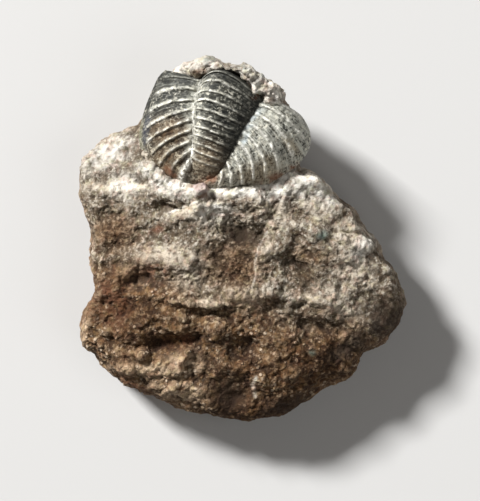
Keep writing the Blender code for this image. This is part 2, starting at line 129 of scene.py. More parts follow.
def addNode(tree, kind, inputs=None, **settings):
    node = tree.nodes.new(kind)
    for key, value in settings.items():
        setattr(node, key, value)
    for key, value in (inputs or {}).items():
        if isinstance(value, bpy.types.NodeSocket):
            tree.links.new(value, node.inputs[key])
        else:
            node.inputs[key].default_value = value
    return node


def attribute(tree, name):
    return addNode(tree, "ShaderNodeAttribute", attribute_name=name).outputs["Fac"]


def noiseAt(tree, place, size, detail=4.0, rough=0.55, shift=0.0):
    # size in mm
    spot = addNode(tree, "ShaderNodeMapping", {"Vector": place, "Location": (shift, shift, 0)})
    node = addNode(tree, "ShaderNodeTexNoise", {"Vector": spot.outputs[0], "Scale": 1000 / size,
                                                "Detail": detail, "Roughness": rough})
    return node.outputs["Fac"]


def cellsAt(tree, place, size, feature="F1", output="Distance"):
    node = addNode(tree, "ShaderNodeTexVoronoi", {"Vector": place, "Scale": 1000 / size}, feature=feature)
    return node.outputs[output]


def ramped(tree, value, low, high):
    node = addNode(tree, "ShaderNodeMapRange", {"Value": value, "From Min": low, "From Max": high},
                   interpolation_type="SMOOTHSTEP")
    return node.outputs[0]


def combined(tree, operation, a, b, c=0.0):
    node = addNode(tree, "ShaderNodeMath", {0: a, 1: b, 2: c}, operation=operation, use_clamp="ADD" not in operation)
    return node.outputs[0]


def tinted(tree, base, colour, amount, blend="MIX"):
    node = addNode(tree, "ShaderNodeMix", data_type="RGBA", blend_type=blend)
    for key, value in ((6, base), (7, colour), (0, amount)):
        if isinstance(value, bpy.types.NodeSocket):
            tree.links.new(value, node.inputs[key])
        else:
            node.inputs[key].default_value = value if key == 0 else (*value, 1.0)
    return node.outputs[2]


def bumped(tree, shader, height, strength, depth, under=None):
    node = addNode(tree, "ShaderNodeBump", {"Height": height, "Strength": strength, "Distance": depth * mm})
    if under:
        tree.links.new(under, node.inputs["Normal"])
    tree.links.new(node.outputs[0], shader.inputs["Normal"])
    return node.outputs[0]


# plan lines in mm as (row, x, y), rows counted along the axis from the front
shield = {
    "frontRow": -1.0, "lastRow": 12.0,
    "leftColumns": 50, "axisColumns": 44, "rightColumns": 54, "rowsPerRing": 16,
    "seatHeight": 17.2, "seatMiddle": (-3.4, 19.0), "seatSlope": (0.05, 0.06),
    "rimThickness": 0.9, "vaultRise": 5.0, "vaultMiddle": (-2.9, 27.0), "vaultLean": 0.2,
    "vaultHalfWidth": 14.2, "vaultLength": 18.0,
    "ringRise": 0.55, "ribRise": 0.5, "ribFirstRow": -0.4, "ribPeriod": 1.35, "ribCount": 9,
    "ringCount": 11, "ringSlant": 0.5, "peak": 0.78, "cheekPower": 2.4, "pitting": 0.11, "wear": 0.14,
    # pale seam that runs on from the left furrow to the margin, and where the lens of dark border lies
    "tailLine": ((-8.9, 17.1), (-9.1, 14.7), (-9.7, 13.4), (-10.5, 12.3), (-11.1, 10.2)),
    "borderSpot": ((-17.3, 19.2, 0.75, 3.4, -14),),
    "earthySpots": ((-13.5, 13.5, 4.5, 4.0, -30), (-6.6, 13.0, 3.6, 4.6, -12), (-13.0, 19.0, 4.0, 3.0, 0),
                    (3.0, 11.6, 4.6, 2.2, 8), (4.9, 13.8, 1.7, 1.2, -40), (8.8, 16.6, 2.0, 0.9, -50)),
    "frostedSpots": ((1.9, 20.9, 0.7, 3.0, -36), (0.4, 17.6, 0.5, 1.8, -30)),
    # where the front of the shield is plain and dark
    "plainSpots": ((-11.5, 28.8, 4.6, 1.8, 0), (-1.5, 29.2, 3.4, 1.4, -20)),
    "rustSpots": ((-5.4, 10.6, 1.9, 0.9, 0), (2.4, 25.6, 0.9, 0.6, 40), (-12.8, 12.0, 1.4, 0.8, -40),
                  (5.6, 10.9, 2.6, 0.8, 22), (8.8, 12.6, 1.6, 0.6, 40)),
    "leftMargin": ((-1, -13.7, 30.3), (-0.5, -14.8, 29.3), (0, -15.5, 28.1), (2, -17.6, 23.0),
                   (4, -18.5, 18.2), (6, -17.6, 14.8), (8, -15.1, 11.4), (10, -11.2, 9.4), (12, -6.8, 8.9)),
    "leftFurrow": ((-1, -7.2, 28.4), (0, -7.6, 27.6), (2, -8.3, 25.1), (4, -8.7, 22.6), (6, -8.7, 19.9),
                   (8, -8.9, 17.0), (10, -9.2, 14.3), (11, -8.6, 12.2), (12, -6.8, 10.4)),
    "crest": ((-1, -3.1, 29.9), (0, -3.2, 29.5), (2, -4.6, 26.2), (4, -5.4, 22.7), (6, -5.5, 19.3),
              (8, -6.1, 16.4), (10, -6.2, 13.5), (12, -6.8, 10.4)),
    "rightFurrow": ((-1, 3.6, 25.3), (0, 3.4, 24.9), (2, 2.3, 22.8), (4, 0.7, 20.4), (6, -0.8, 17.9),
                    (8, -2.3, 15.0), (10, -3.5, 12.9), (11, -4.6, 11.4), (12, -6.8, 10.4)),
    "rightMargin": ((-1, 8.4, 23.7), (-0.5, 10.7, 22.1), (0, 12.2, 19.2), (1, 12.0, 16.2), (2, 10.2, 13.6),
                    (4, 5.9, 10.3), (6, 2.1, 9.1), (8, -1.0, 8.6), (10, -4.0, 8.7), (12, -6.8, 8.9)),
    # row, height of the crest and of the furrows over the margin
    "heights": ((-1, 7.9, 5.6), (0, 8.6, 5.9), (2, 9.0, 6.2), (4, 8.8, 6.3), (6, 8.1, 5.9), (8, 6.9, 5.2),
                (10, 5.2, 4.1), (12, 2.2, 2.2)),
    # row, how far the left and the right ribs bow forward
    "bows": ((-1, 0.02, 0.1), (-0.5, 0.08, 0.08), (0, 0.15, 0.14), (2, 0.17, 0.25), (4, 0.14, 0.3),
             (6, 0.15, 0.36), (8, 0.28, 0.35), (10, 0.25, 0.25), (12, 0.0, 0.0)),
}


def along(rail, row):
    last = len(rail) - 2
    i = max(n for n in range(last + 1) if n == 0 or rail[n][0] <= row)
    before, start = rail[max(i - 1, 0)], rail[i]
    end, after = rail[i + 1], rail[min(i + 2, last + 1)]
    span = end[0] - start[0]
    t = (row - start[0]) / span
    values = []
    for a, b, c, d in zip(before[1:], start[1:], end[1:], after[1:]):
        slopeIn = (c - a) / max(end[0] - before[0], 1) * span
        slopeOut = (d - b) / max(after[0] - start[0], 1) * span
        values.append((2 * t**3 - 3 * t**2 + 1) * b + (t**3 - 2 * t**2 + t) * slopeIn
                      + (3 * t**2 - 2 * t**3) * c + (t**3 - t**2) * slopeOut)
    return values


def seatPlane(x, y):
    dx, dy = x - shield["seatMiddle"][0], y - shield["seatMiddle"][1]
    return shield["seatHeight"] + shield["seatSlope"][0] * dx + shield["seatSlope"][1] * dy


def vaultHeight(x, y):
    middle = shield["vaultMiddle"][0] + shield["vaultLean"] * (y - shield["vaultMiddle"][1])
    across = (x - middle) / shield["vaultHalfWidth"]
    back = min(0.0, y - shield["vaultMiddle"][1]) / shield["vaultLength"]
    rise = shield["vaultRise"] * (1 - across * across - back * back)
    return seatPlane(x, y) + max(rise, -shield["rimThickness"])


def ridgePhase(row, period, first, count):
    # share of the way through a ridge's period, or None outside the ridges
    phase = (row - first) / period + shield["peak"]
    return phase % 1.0 if 0 <= phase <= count else None


def ridgeRise(part):
    if part is None:
        return 0.0
    if part < shield["peak"]:
        return 0.25 * part / shield["peak"] + 0.75 * smoothStep(0.4, shield["peak"], part)
    return 1 - smoothStep(shield["peak"], 1.0, part)


def ridgeHighlight(part):
    # painted highlight: the crest and the slope in front of it, made paler than the groove behind as if lit
    if part is None:
        return 0.0
    return smoothStep(0.48, 0.76, part) * (1 - smoothStep(0.8, 0.9, part))


def ridgeLine(part, width=0.12):
    # 1 on the crest of a ridge, 0 between
    if part is None:
        return 0.0
    off = min(abs(part - shield["peak"]), abs(part - shield["peak"] + 1), abs(part - shield["peak"] - 1))
    return bell(off, width)


block = {
    "voxel": 0.5,
    "smoothing": 3, "wallSmoothing": 16,
    "fineAbove": 8.0,  # the upper face is made finer than the sides, above this height
    "broadSize": 6.0, "broadRise": 0.75,
    "lumpSize": 2.2, "lumpRise": 0.42,
    "crumbSize": 0.95, "crumbRise": 0.42,
    "plateSize": 2.2, "plateRise": 1.1,  # flat chips on the stone in front of the shield
    "grainSize": 0.6, "grainRise": 0.2,
    "streakSize": (3.6, 0.7), "streakRise": 0.4,
    "seamRadius": 0.7,
    "seamRows": (3.6, 2.2),  # the bead starts this far back on the left and on the right
    # smooth broken patches: x, y, half length, half width, turn
    "calmSpots": ((-2.3, -28.2, 4.0, 3.6, -10), (-13.3, -3.5, 5.6, 1.8, -6), (-12.0, -21.0, 4.0, 0.9, 4),
                  (-24.0, 15.6, 5.0, 2.4, 25), (10.8, 10.6, 3.6, 1.6, -8), (25.5, -13.0, 2.6, 3.0, -30)),
    # x, y, radius
    "nodules": ((-17.8, -20.8, 1.3), (-9.4, -20.3, 0.9), (-10.9, -22.0, 0.8), (-14.0, -12.6, 0.7),
                (-16.2, -14.2, 0.65), (-12.2, -11.6, 0.65), (-12.4, -26.4, 0.8), (-3.2, -26.0, 0.6),
                (-3.4, -22.6, 0.6), (-5.2, -16.9, 0.5), (3.2, -24.9, 0.6),
                (-14.8, -13.9, 0.75), (-13.4, -13.4, 0.65), (-12.4, -12.7, 0.6), (-15.4, -15.6, 0.7),
                (-17.2, -13.0, 0.6), (-11.0, -13.8, 0.7), (-20.5, -6.4, 0.8), (-24.3, -16.4, 0.75),
                (-3.7, -25.9, 0.7), (-19.6, -20.4, 0.7), (-13.4, -19.6, 0.8),
                (-21.9, -16.2, 0.8), (-7.0, -18.4, 0.8), (-2.6, -18.9, 0.7), (-18.6, -17.6, 0.6)),
    "footNodules": ((-7.1, 9.3, 1.45),),  # on the rim behind the axis
    # stone lapping onto the front of the shield: x, y, radius
    "lapping": ((-12.6, 30.1, 0.6), (-11.4, 29.8, 0.8), (-10.2, 29.5, 1.0), (-9.0, 29.2, 1.1), (-7.9, 28.8, 1.0),
                (-7.0, 29.7, 1.3), (-6.2, 30.6, 1.2), (-5.1, 30.4, 0.8), (-3.9, 30.3, 0.6), (-2.6, 30.1, 0.5),
                (-1.2, 30.0, 0.6), (0.2, 29.6, 0.9), (1.2, 28.9, 1.1), (2.0, 27.8, 1.1), (2.8, 26.6, 1.1),
                (3.6, 25.5, 1.1), (4.8, 24.9, 1.2), (6.0, 24.4, 1.0), (7.1, 24.0, 0.7), (3.2, 28.0, 1.2),
                (4.4, 26.9, 1.4), (5.6, 25.7, 1.3), (-8.6, 30.2, 1.0), (-10.3, 30.6, 0.8)),
    # x, y, half length, half width, turn, rise, edge
    "forms": (
        (-13.9, 5.8, 4, 0.9, -4, -0.35, 2), (-24.1, 3.1, 3.2, 1.4, 0, -0.38, 2), (-12.8, 1.5, 1.6, 0.9, -5, -0.45, 2.5),
        (-0.9, 1.2, 4.8, 1.7, -14, -1.1, 2), (1.4, 5.7, 1.8, 0.9, 0, -0.45, 2.5), (-24.3, -5, 2.2, 1.4, -10, -0.38, 2),
        (-17.6, -7.8, 4.5, 1.3, -4, -0.6, 2.5), (-8.5, -8.2, 2.9, 1.3, 0, -0.52, 2.5), (-7, -12.9, 5.4, 0.7, -2, -0.6, 2.5),
        (-13.9, -18.6, 5.9, 1.4, -3, -0.5, 2), (-23.8, -12.5, 1.8, 1.1, 0, -0.3, 2), (-8.8, -16.6, 1.6, 1.6, 0, -0.38, 2),
        (-0.4, -21.1, 2.2, 1.4, 0, -0.52, 2.5), (9.9, -4.4, 2.9, 1.1, -14, -0.45, 2), (19.4, 1.2, 1.6, 0.5, -5, -0.6, 2.5),
        (3.6, -11.6, 2, 1.4, 0, -0.45, 2), (14, -15.9, 4.9, 1.1, -4, -0.6, 2.5),
        (11.9, -2.6, 1.6, 0.7, -10, -0.3, 2), (0.7, -18.8, 1.1, 1.4, 0, -0.3, 2), (4, -23.5, 2.7, 1.1, -3, -0.38, 2),
        (8.5, -26.2, 2, 0.7, -20, -0.3, 2), (-1.8, -14.8, 1.4, 2.2, 0, -0.22, 2), (-5.4, -26.6, 1.8, 1.1, 0, -0.22, 2),
        (0.5, -4.4, 2.2, 0.9, 0, -0.22, 2), (-2.3, -28.2, 3.8, 3.2, -10, -0.3, 2.5), (-13.3, -3.5, 6.1, 2.2, -6, 0.5, 2),
        (-11.2, 5, 4, 0.7, 14, 0.4, 2), (-4.5, 5.3, 3.1, 1.3, 0, 0.4, 2), (-16.6, 8.7, 7.2, 1.1, -2, 0.4, 2),
        (10.3, 2.2, 3.6, 1.1, -6, 0.3, 2), (4.3, -1.9, 1.3, 2, -10, 0.4, 2), (12.1, -10.9, 4.9, 0.9, -10, 0.5, 3),
        (-7, -11.4, 5.8, 0.6, -3, 0.6, 4), (-15.7, -23.5, 7.6, 1.1, -3, 0.6, 3), (-21.1, -20.6, 2, 0.6, 0, 0.4, 2),
        (-23.9, -16.6, 1.3, 1.1, 0, 0.4, 2), (5, -20.8, 4, 0.9, -2, 0.4, 2), (-12.1, -27.4, 5.4, 1.1, -14, 0.3, 2),
        (-0.7, -9.1, 3.1, 0.9, -4, 0.4, 2), (2.2, -26.4, 0.5, 1.4, -12, 0.35, 2), (14.9, -13.9, 2, 0.7, -20, 0.3, 2),
        (10.4, 10.5, 4, 1.4, 0, 0.3, 2),
    ),
    "rustSpots": ((-23, -11, 3.2, 4.6, 10), (-5.4, 9.9, 1.3, 0.8, -10), (-8.6, 9.6, 0.8, 0.6, 0), (-6.6, 8.0, 1.7, 0.6, 0),
                  (-16, -6, 3, 2, 0),
                  (-15, 2, 1.5, 0.7, 20), (-11.5, -18.5, 3, 1.2, 10), (-19, -27, 4, 1.2, -35)),
    "tealSpots": ((14.4, 0.8, 1.0, 0.8, 20), (12.6, -20.4, 0.7, 0.6, 0)),
    # white patches: partly the stone's white, partly painted light that brightens places below and right of the shield
    # and slopes turned from the lamp
    "whiteAndLitSpots": ((-11.5, 29.9, 2.0, 0.9, -10), (-3.7, 31.0, 1.4, 0.8, -30), (7.0, 25.7, 1.1, 0.8, -40), (-24.0, 15.6, 4.8, 2.6, 25), (11.3, 9.6, 3.4, 2.4, 0), (13.6, 9.4, 4.6, 2.4, -48), (-10.5, 9.2, 3, 2, 0), (-21, 9.8, 2.6, 2.2, 0), (-5.2, 4.8, 2.8, 2.0, -10), (21.8, -1.2, 1.6, 3.4, -30), (6.0, 8.6, 3.6, 1.8, 10), (-16.9, 12.3, 2.5, 1.6, -20), (-2.5, 8.4, 6.8, 1.1, -2), (10.8, 10.5, 4.7, 1.8, -8), (-4.5, 5.5, 2.7, 1.1, 0), (-13.9, 9.3, 3.6, 1.3, -25), (5.4, 9.4, 2.9, 0.7, 14), (-8.3, 31.4, 6.1, 1.6, 6), (5, 26.6, 4.7, 2.3, -48)),
    # pale patches: partly the stone's paler ledges, partly painted light that brightens places the lamp leaves too dark
    "paleAndLitSpots": ((-4.9, 4.4, 3, 2.4, 0), (6, 4.4, 2.6, 2.4, 0), (0.5, -11.2, 3, 2, 0), (17, -11.2, 4.4, 2.2, -30), (-10.3, -22.5, 3, 2.4, 0), (-9.8, -27.6, 3.2, 2.2, -20), (-10, -6.6, 2.8, 2, 0), (-19.5, -6.5, 3, 2, 0), (-28.3, -15.4, 0.9, 3.6, -12), (-22, 9.4, 8, 1.2, 0), (-12.6, -3, 5.8, 1.9, -6), (-9.4, 5, 4.7, 1.3, 12), (12.1, -10.9, 5, 1.1, -10), (-7, -11.4, 5.8, 0.7, -3), (-16.6, -23.5, 7.2, 1.3, -3), (4.3, -1.9, 1.3, 2, -10), (20.3, -5.5, 4.4, 3.2, -40), (-12.6, -27.6, 4.3, 1.3, -14), (19.5, 0.6, 4.0, 2.4, -50), (13.6, 5.6, 3.6, 1.8, -30)),
    # painted shade: dark grey-brown patches on the right tip, below it and in the hollow in the middle
    "greyShadeSpots": ((25.9, -14.1, 4, 3.2, 40), (18.5, -19.9, 4.7, 1.6, 32), (0.2, 0.6, 3.2, 1.6, -14)),
    "pinkSpots": ((-7.1, 9.6, 1.5, 1.1, 0),),
    "umberSpots": ((5.6, 7.8, 0.9, 0.6, 0), (-2.3, -28.4, 4.2, 4.0, -10), (8.0, -30.0, 5.0, 1.8, 14)),
    # stains and greenish grey places on the lump in front of the shield
    "stainSpots": ((-8.1, 30.0, 1.8, 0.9, 10), (4.5, 26.5, 1.5, 0.9, -40), (7.4, 24.6, 1.0, 0.5, -30),
                   (-4.2, 30.7, 0.7, 0.5, 0)),
    "mossSpots": ((-6.3, 31.9, 1.9, 1.1, 20), (-0.2, 30.5, 1.7, 0.9, -10), (3.4, 28.8, 1.3, 0.7, -45)),
    # thin pale lines: width, strength, corners
    "veins": ((0.65, 1.0, ((-15.8, 12.0), (-14.2, 10.3), (-11.2, 9.3), (-7.9, 9.0), (-4.3, 8.7), (-0.4, 8.6),
                           (2.9, 9.0), (6.5, 10.1), (8.8, 11.6), (11.2, 11.2), (14.0, 10.7))),
              (0.16, 0.5, ((4.5, 1.4), (2.9, -1.5), (2.3, -4.1), (2.5, -6.4), (1.8, -8.7))),
              (0.22, 0.6, ((-13.0, 4.8), (-10.5, 5.9), (-8.2, 6.7), (-6.6, 7.6))),
              (0.3, 0.7, ((2.6, -24.9), (1.9, -26.2), (2.4, -28.4)))),
    # brown patches that also darken the stone: partly the stone's brown, partly painted shade
    "brownAndShadeSpots": ((-23.4, 0.6, 4.7, 4.3, 0), (-21.5, -6.0, 4.0, 3.0, 0), (-0.7, -5.1, 4.7, 5, 0), (3.6, -11.6, 3.6, 2.2, 0), (12.2, -2.8, 4, 1.6, -10)),
    # painted shade: darker patches that stand in for shade
    "paintedShadeSpots": ((0.4, -0.6, 3.2, 2.4, 0), (-4.6, -3.2, 3.0, 3.2, 0), (0.8, -27.2, 2.4, 2.4, 0), (-22.5, 1.4, 4.4, 3.2, 0), (-21.0, -6.6, 3.6, 3.0, 0), (-0.4, -4.6, 4.5, 4.6, 0), (14.0, -20.5, 8.0, 4.6, 28), (27.0, -13.6, 4.0, 4.4, 30),
                 (-19.5, -12.6, 6.0, 3.0, 0), (0.6, 0.6, 3.6, 2.0, -14), (-5, -6.4, 2.6, 2.4, 0), (11, -6.2, 2.6, 2.2, 0), (-20.5, -16.8, 3, 2.2, 0),
                 (-21, -21.6, 2.6, 2, 0), (0.5, -22.6, 3, 2.6, 0), (7, -23, 3, 2.4, 0), (-27.5, -12.5, 1.6, 2.6, 0),
                 (1.0, -30.5, 8.0, 2.6, 0), (-12.5, -18.8, 6.0, 1.8, 0)),
}


def addBall(bm, x, y, z, radius):
    made = bmesh.ops.create_icosphere(bm, subdivisions=2, radius=radius * mm)
    bmesh.ops.translate(bm, verts=made["verts"], vec=Vector((x, y, z)) * mm)


def addSeam(bm):
    # a bead of sediment that laps unevenly onto the shield's foot
    for name, firstRow in zip(("leftMargin", "rightMargin"), block["seamRows"]):
        row = firstRow
        while row < shield["lastRow"]:
            x, y = along(shield[name], row)
            swell = 1 + 0.35 * clump(x, y, 5, 1.7, 2)
            foot = smoothStep(4.5, 7.0, row)
            lift = 1.55 * foot - 0.3 + 0.25 * clump(x, y, 9, 2.3, 2)
            ahead = Vector(along(shield[name], row + 0.1)) - Vector((x, y))
            out = Vector((-ahead.y, ahead.x) if name == "rightMargin" else (ahead.y, -ahead.x)).normalized()
            out *= 0.4 - 0.15 * foot
            addBall(bm, x - out.x, y - out.y, seatPlane(x, y) + lift, block["seamRadius"] * swell * (1 + 0.4 * foot))
            row += 0.09


def addLumps(bm, lumps, surface, lift):
    # balls of stone set into whatever surface lies under them
    for x, y, radius in lumps:
        spot = surface.ray_cast(Vector((x, y, 60)) * mm, Vector((0, 0, -1)))[0]
        if spot:
            addBall(bm, x, y, spot.z / mm + lift * radius, radius)


def formRise(x, y):
    # the named ledges and hollows of the upper face
    rise = 0.0
    for cx, cy, halfLength, halfWidth, turn, depth, edge in block["forms"]:
        if abs(x - cx) < 12 and abs(y - cy) < 7:
            c, s = math.cos(math.radians(turn)), math.sin(math.radians(turn))
            u = ((x - cx) * c + (y - cy) * s) / halfLength
            v = ((y - cy) * c - (x - cx) * s) / halfWidth
            away = math.hypot(u, v)
            if away < 3:
                rise += depth * math.exp(-(away**edge))
    return rise


smoothPlaces = block["calmSpots"] + tuple((x, y, 1.2 * size, 1.2 * size, 0) for x, y, size in block["nodules"] + block["footNodules"])


def roughStone(x, y, z, up, steep):
    # rise of the broken surface along its normal in mm, and the part of it that is broad relief
    calm = (1 - 0.85 * patch(x, y, smoothPlaces) * up) * (1 - 0.25 * steep)
    calm *= 1 - 0.35 * smoothStep(4, 14, x)
    warp = 0.35 * noise.noise_vector(Vector((x, y, z)) / 1.7)
    spot = Vector((x, y, z)) + warp
    wide = block["broadRise"] * noise.fractal(spot / block["broadSize"], 0.8, 2.1, 3) * (1 + 0.1 * steep)
    wide += block["lumpRise"] * noise.fractal((spot + Vector((20, 0, 0))) / block["lumpSize"], 0.6, 2.2, 3) * calm
    wide += formRise(x + 1.2 * warp.x, y + 1.2 * warp.y) * up
    crumbly = smoothStep(-0.25, 0.35, noise.noise(Vector((x, y - 7, z)) / 4.0))
    crumb = 0.45 - noise.voronoi(spot / block["crumbSize"])[0][0]
    rise = wide + block["crumbRise"] * crumb * (0.2 + 0.8 * crumbly) * calm
    near = noise.voronoi(spot / block["plateSize"])[0]
    rise += block["plateRise"] * (min(0.45, near[1] - near[0]) - 0.3) * smoothStep(24, 28, y + 0.55 * x)
    rise += block["grainRise"] * noise.fractal(spot / block["grainSize"], 0.5, 2.0, 2) * calm
    c, s = math.cos(math.radians(-37)), math.sin(math.radians(-37))
    u, v = x * c + y * s, y * c - x * s
    streak = noise.noise(Vector((u / block["streakSize"][0], v / block["streakSize"][1], z / 6)))
    rise += block["streakRise"] * streak * up * smoothStep(4, 15, x)
    return rise, wide


def makeLimestoneMaterial():
    material, tree, shader = newMaterial("limestone")
    place = addNode(tree, "ShaderNodeTexCoord").outputs["Object"]
    shader.inputs["Specular IOR Level"].default_value = 0.25
    # this mark picks browner, darker colours: partly the stone's own brown, partly painted shade for the lower part and
    # the steep sides
    brownAndShade = attribute(tree, "brownAndShade")
    mottle = ramped(tree, noiseAt(tree, place, 1.9, 6.0, 0.7), 0.39, 0.66)
    colour = tinted(tree, tinted(tree, (0.070, 0.049, 0.029), (0.048, 0.023, 0.010), brownAndShade),
                    tinted(tree, (0.28, 0.228, 0.168), (0.182, 0.103, 0.046), brownAndShade), mottle)
    fleck = ramped(tree, noiseAt(tree, place, 0.75, 4.0, 0.7, 0.013), 0.50, 0.64)
    colour = tinted(tree, colour, tinted(tree, (0.54, 0.495, 0.415), (0.53, 0.392, 0.258), brownAndShade),
                    combined(tree, "MULTIPLY", fleck, attribute(tree, "flecked")))
    colour = tinted(tree, colour, tinted(tree, (0.59, 0.51, 0.405), (0.54, 0.40, 0.272), brownAndShade),
                    attribute(tree, "beige"))
    colour = tinted(tree, colour, (0.80, 0.77, 0.70), attribute(tree, "cream"))
    # painted highlight on raised points, partly the paler crumb tops
    colour = tinted(tree, colour, tinted(tree, (0.66, 0.61, 0.52), (0.57, 0.425, 0.282), brownAndShade),
                    attribute(tree, "raised"))
    dots = ramped(tree, cellsAt(tree, place, 1.15), 0.36, 0.2)
    scattered = ramped(tree, noiseAt(tree, place, 2.6, 2.0, 0.6, 0.023), 0.46, 0.6)
    grains = combined(tree, "MULTIPLY", combined(tree, "MULTIPLY", dots, scattered), attribute(tree, "brownAndShade"))
    specks = ramped(tree, noiseAt(tree, place, 0.85, 4.0, 0.7, 0.041), 0.50, 0.64)
    colour = tinted(tree, colour, (0.06, 0.038, 0.022), combined(tree, "MULTIPLY", specks, attribute(tree, "specked")))
    colour = tinted(tree, colour, (0.60, 0.475, 0.35), combined(tree, "MULTIPLY", grains, 0.75))
    # painted shade: dark grey-brown laid over the listed patches
    colour = tinted(tree, colour, (0.048, 0.038, 0.030), attribute(tree, "greyShade"))
    colour = tinted(tree, colour, (0.036, 0.022, 0.013), attribute(tree, "umber"))
    colour = tinted(tree, colour, (0.21, 0.225, 0.205), attribute(tree, "moss"))
    colour = tinted(tree, colour, (0.44, 0.34, 0.315), attribute(tree, "pink"))
    colour = tinted(tree, colour, (0.17, 0.10, 0.055), attribute(tree, "stain"))
    colour = tinted(tree, colour, (0.15, 0.064, 0.035), attribute(tree, "rust"))
    colour = tinted(tree, colour, (0.20, 0.27, 0.245), attribute(tree, "teal"))
    # painted shade in creases and hollows, partly the stone's dark brown fill
    colour = tinted(tree, colour, tinted(tree, (0.040, 0.029, 0.018), (0.030, 0.016, 0.009), brownAndShade),
                    attribute(tree, "hollow"))
    reddish = ramped(tree, noiseAt(tree, place, 1.5, 3.0, 0.6, 0.061), 0.50, 0.66)
    colour = tinted(tree, colour, (1.0, 0.78, 0.74), combined(tree, "MULTIPLY", reddish, 0.5), "MULTIPLY")
    mossy = ramped(tree, noiseAt(tree, place, 1.3, 3.0, 0.6, 0.083), 0.50, 0.66)
    colour = tinted(tree, colour, (0.90, 0.93, 0.72), combined(tree, "MULTIPLY", mossy, 0.5), "MULTIPLY")
    # painted shade: multiplies the colour darker over the marked patches and towards the bottom right
    colour = tinted(tree, colour, (0.56, 0.46, 0.37), attribute(tree, "paintedShade"), "MULTIPLY")
    tree.links.new(colour, shader.inputs["Base Color"])
    shader.inputs["Roughness"].default_value = 0.92
    grit = noiseAt(tree, place, 0.42, 3.0, 0.6)
    under = bumped(tree, shader, grit, 0.9, 0.28)
    under = bumped(tree, shader, cellsAt(tree, place, 0.7), 0.5, 0.16, under)
    bumped(tree, shader, grains, 0.7, 0.3, under)
    return material


